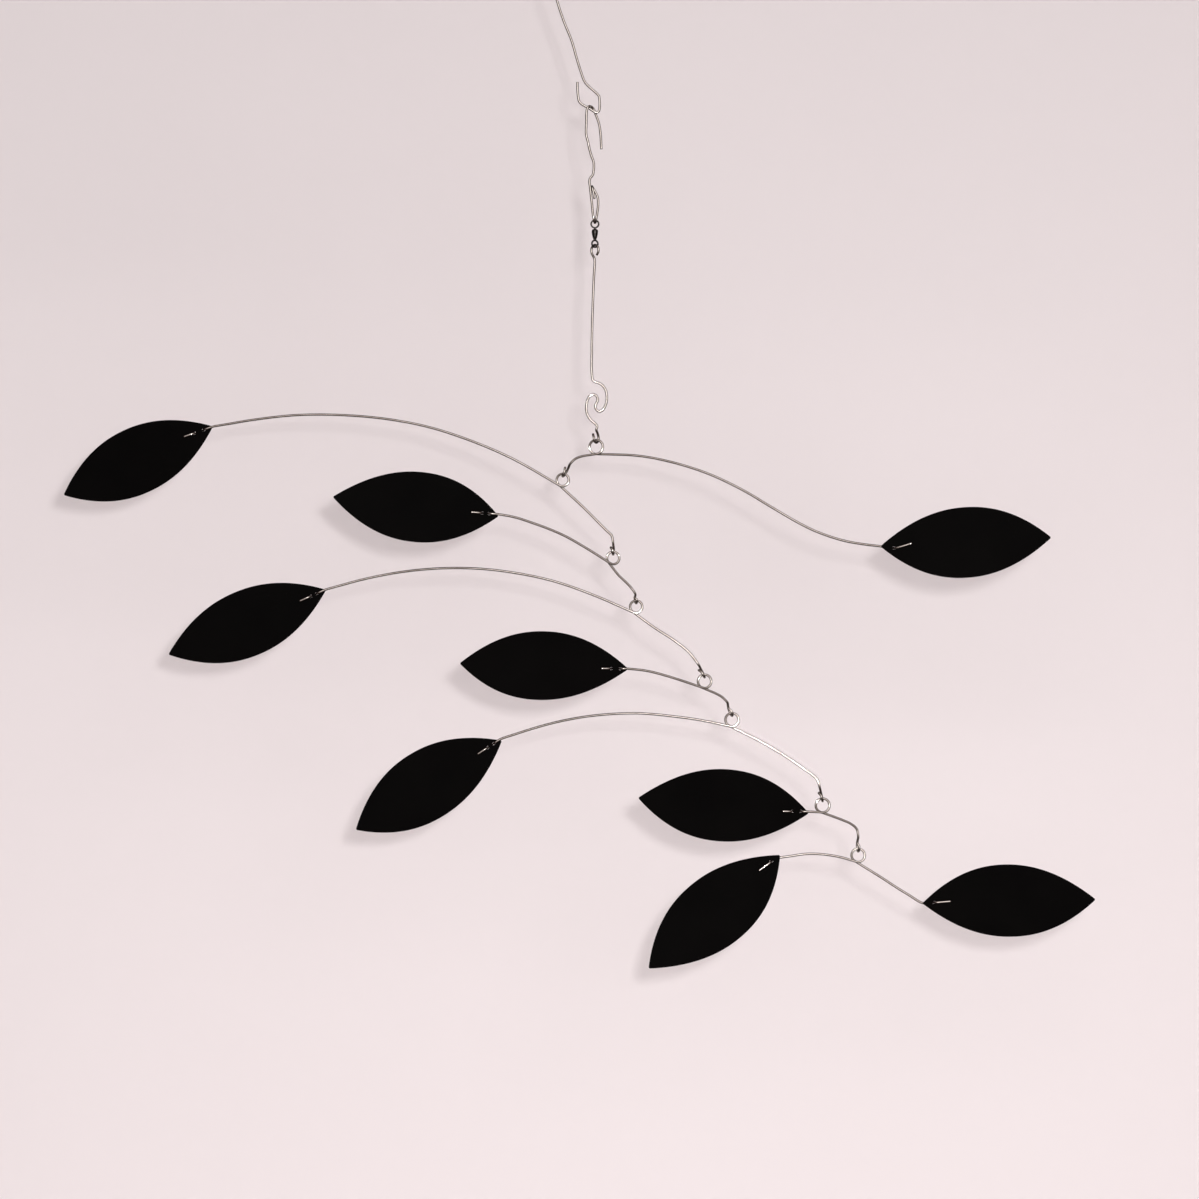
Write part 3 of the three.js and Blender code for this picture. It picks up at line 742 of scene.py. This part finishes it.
def bump(nodes, links, shader, height, distance, strength=1.0):
    node = nodes.new("ShaderNodeBump")
    node.inputs["Distance"].default_value = distance
    node.inputs["Strength"].default_value = strength
    links.new(height, node.inputs["Height"])
    links.new(node.outputs["Normal"], shader.inputs["Normal"])


def steel_material():
    """Drawn stainless wire: fine lines along it, and slow patches where it was handled."""
    material, nodes, links, shader = new_material("drawn_steel")
    shader.inputs["Metallic"].default_value = 1
    uv = nodes.new("ShaderNodeUVMap")
    uv.uv_map = "along"
    lines = noise(nodes, links, mapped(nodes, links, uv.outputs["UV"], (0.7, 26, 1)), 1.0, 4.0, 0.6)
    place = nodes.new("ShaderNodeTexCoord").outputs["Object"]
    patches = noise(nodes, links, place, 90, 2.0)
    colour = ramp(nodes, links, patches, [(0.32, (0.46, 0.41, 0.385)), (0.68, (0.62, 0.57, 0.54))])
    links.new(colour, shader.inputs["Base Color"])
    links.new(spread_value(nodes, links, lines, 0.1, 0.26), shader.inputs["Roughness"])
    bump(nodes, links, shader, lines, 0.00002, 0.6)
    return material


def nickel_material():
    """Black nickel: a dark plate, a little rubbed and duller in patches."""
    material, nodes, links, shader = new_material("black_nickel")
    shader.inputs["Metallic"].default_value = 1
    place = nodes.new("ShaderNodeTexCoord").outputs["Object"]
    patches = noise(nodes, links, place, 900, 3.0)
    fine = noise(nodes, links, place, 6000, 2.0)
    colour = ramp(nodes, links, patches, [(0.35, (0.035, 0.031, 0.03)), (0.7, (0.075, 0.069, 0.066))])
    links.new(colour, shader.inputs["Base Color"])
    links.new(spread_value(nodes, links, patches, 0.2, 0.42), shader.inputs["Roughness"])
    bump(nodes, links, shader, fine, 0.00002, 0.5)
    return material


RIM_SMOOTHER = 0.2


def leaf_material():
    """Matt black sheet with a very fine grain, smoother along the cut edge."""
    material, nodes, links, shader = new_material("matt_black_sheet")
    shader.inputs["Specular IOR Level"].default_value = 0.03
    place = nodes.new("ShaderNodeTexCoord").outputs["Object"]
    grain = noise(nodes, links, place, 2600, 3.0, 0.65)
    cloud = noise(nodes, links, place, 38, 3.0)
    colour = ramp(nodes, links, cloud, [(0.3, (0.0009, 0.0007, 0.0007)), (0.72, (0.0016, 0.0013, 0.0012))])
    links.new(colour, shader.inputs["Base Color"])
    rim = nodes.new("ShaderNodeAttribute")
    rim.attribute_name = "rim"
    rough = nodes.new("ShaderNodeMath")
    rough.operation = "MULTIPLY_ADD"
    links.new(rim.outputs["Fac"], rough.inputs[0])
    rough.inputs[1].default_value = -RIM_SMOOTHER
    links.new(spread_value(nodes, links, grain, 0.55, 0.78), rough.inputs[2])
    links.new(rough.outputs[0], shader.inputs["Roughness"])
    bump(nodes, links, shader, grain, 0.00004, 0.5)
    return material


STEEL = steel_material()
NICKEL = nickel_material()
LEAF_BLACK = leaf_material()

build_hanger()
build_hook()
build_swivel()
build_suspension()
for n in range(len(ARMS)):
    build_arm(n)


# Stage: a pale wall well behind the mobile, curving into a pale floor, both clear from behind

WALL_Y = 0.36
FLOOR_Z = -1.5
STAGE_HALF = 4.0
WALL_TOP = 3.0
COVE = 0.3
COVE_STEPS = 12


def stage_material():
    material, nodes, links, shader = new_material("pale_wall")
    place = nodes.new("ShaderNodeTexCoord").outputs["Object"]
    patches = noise(nodes, links, place, 1.2, 2.0)
    colour = ramp(nodes, links, patches, [(0.3, (0.81, 0.74, 0.745)), (0.7, (0.83, 0.76, 0.764))])
    links.new(colour, shader.inputs["Base Color"])
    shader.inputs["Roughness"].default_value = 0.95
    shader.inputs["Specular IOR Level"].default_value = 0.1
    behind = nodes.new("ShaderNodeNewGeometry").outputs["Backfacing"]
    clear = nodes.new("ShaderNodeBsdfTransparent")
    mix = nodes.new("ShaderNodeMixShader")
    links.new(behind, mix.inputs["Fac"])
    links.new(shader.outputs["BSDF"], mix.inputs[1])
    links.new(clear.outputs["BSDF"], mix.inputs[2])
    links.new(mix.outputs["Shader"], nodes["Material Output"].inputs["Surface"])
    return material


def build_stage():
    profile = [(-STAGE_HALF, FLOOR_Z)]
    for i in range(COVE_STEPS + 1):
        a = math.radians(90 * i / COVE_STEPS)
        profile.append((WALL_Y - COVE + COVE * math.sin(a), FLOOR_Z + COVE - COVE * math.cos(a)))
    profile.append((WALL_Y, WALL_TOP))
    verts = []
    for y, z in profile:
        verts += [(-STAGE_HALF, y, z), (STAGE_HALF, y, z)]
    faces = [(2 * i, 2 * i + 1, 2 * i + 3, 2 * i + 2) for i in range(len(profile) - 1)]
    mesh = bpy.data.meshes.new("backdrop")
    mesh.from_pydata(verts, [], faces)
    for poly in mesh.polygons:
        poly.use_smooth = True
    backdrop = add("backdrop", mesh)
    backdrop.visible_glossy = False
    mesh.materials.append(stage_material())


def area_light(name, place, target, width, height, watts, in_wires=False):
    """A soft light, which the wires mirror only where in_wires says so."""
    data = bpy.data.lights.new(name, "AREA")
    data.shape = "RECTANGLE"
    data.size = width
    data.size_y = height
    data.energy = watts
    light = bpy.data.objects.new(name, data)
    light.location = place
    light.rotation_euler = (Vector(target) - Vector(place)).to_track_quat("-Z", "Y").to_euler()
    light.visible_camera = False
    light.visible_glossy = in_wires
    bpy.context.scene.collection.objects.link(light)


# Camera: level, straight at the front

CAMERA = Vector((0.00175, -1.6, -0.3444))
FRAME_HALF = 0.29975  # half the frame's width at the origin's depth
SENSOR = 36


def build_camera():
    data = bpy.data.cameras.new("camera")
    data.sensor_width = SENSOR
    data.lens = SENSOR / 2 * abs(CAMERA.y) / FRAME_HALF
    camera = bpy.data.objects.new("camera", data)
    camera.location = CAMERA
    camera.rotation_euler = (math.radians(90), 0, 0)
    bpy.context.scene.collection.objects.link(camera)
    bpy.context.scene.camera = camera


def build_world():
    """A plain pale ground and an even soft light, and a dim brown room with one window for reflections."""
    world = bpy.data.worlds.new("room")
    world.use_nodes = True
    nodes, links = world.node_tree.nodes, world.node_tree.links
    ground = nodes["Background"]
    ground.inputs["Color"].default_value = (*PALE, 1)
    soft = nodes.new("ShaderNodeBackground")
    soft.inputs["Color"].default_value = (*SOFT, 1)
    room = nodes.new("ShaderNodeBackground")
    facing = nodes.new("ShaderNodeVectorMath")
    facing.operation = "DOT_PRODUCT"
    links.new(nodes.new("ShaderNodeTexCoord").outputs["Generated"], facing.inputs[0])
    facing.inputs[1].default_value = Vector(WINDOW_WAY).normalized()
    around = nodes.new("ShaderNodeMapRange")
    around.inputs["From Min"].default_value = -1
    links.new(facing.outputs["Value"], around.inputs["Value"])
    links.new(ramp(nodes, links, around.outputs["Result"], ROOM), room.inputs["Color"])
    rays = nodes.new("ShaderNodeLightPath")
    last = soft
    for ray, other in (("Is Glossy Ray", room), ("Is Camera Ray", ground)):
        mix = nodes.new("ShaderNodeMixShader")
        links.new(rays.outputs[ray], mix.inputs["Fac"])
        links.new(last.outputs[0], mix.inputs[1])
        links.new(other.outputs[0], mix.inputs[2])
        last = mix
    links.new(last.outputs[0], nodes["World Output"].inputs["Surface"])
    bpy.context.scene.world = world


PALE = (0.82, 0.735, 0.742)  # what the camera sees beyond the stage
SOFT = (0.2, 0.197, 0.194)  # what lights everything evenly
WINDOW_WAY = (0.08, -0.95, 0.3)
ROOM = [  # what the wires mirror, from straight away from the window to straight at it
    (0.0, (0.3, 0.28, 0.27)), (0.2, (0.03, 0.019, 0.017)), (0.5, (0.03, 0.019, 0.017)),
    (0.65, (0.06, 0.043, 0.039)), (0.78, (0.17, 0.14, 0.13)), (0.885, (0.45, 0.4, 0.38)),
    (0.953, (1.1, 1.04, 1.0)), (0.985, (2.4, 2.35, 2.3)),
]


OVERHEAD = 1.9
OVERHEAD_SPREAD = 10


def build_lights():
    """A small light near the lens for the shadows, two soft ones, and one straight down on the floor."""
    area_light("near_lens", CAMERA + Vector((0.04, 0, 0.035)), (0, 0, -0.3), 0.03, 0.03, 9, in_wires=True)
    area_light("soft_front", (0.15, -1.9, -0.15), (0, 0, -0.35), 0.9, 0.7, 8.5)
    area_light("soft_low", (0.35, -1.3, -1.1), (0.1, 0.36, -0.85), 1.2, 0.6, 8)
    data = bpy.data.lights.new("overhead", "SUN")
    data.energy = OVERHEAD
    data.angle = math.radians(OVERHEAD_SPREAD)
    overhead = bpy.data.objects.new("overhead", data)
    overhead.visible_glossy = False
    bpy.context.scene.collection.objects.link(overhead)


build_stage()
build_camera()
build_world()
build_lights()
bpy.context.scene.view_settings.view_transform = "Standard"
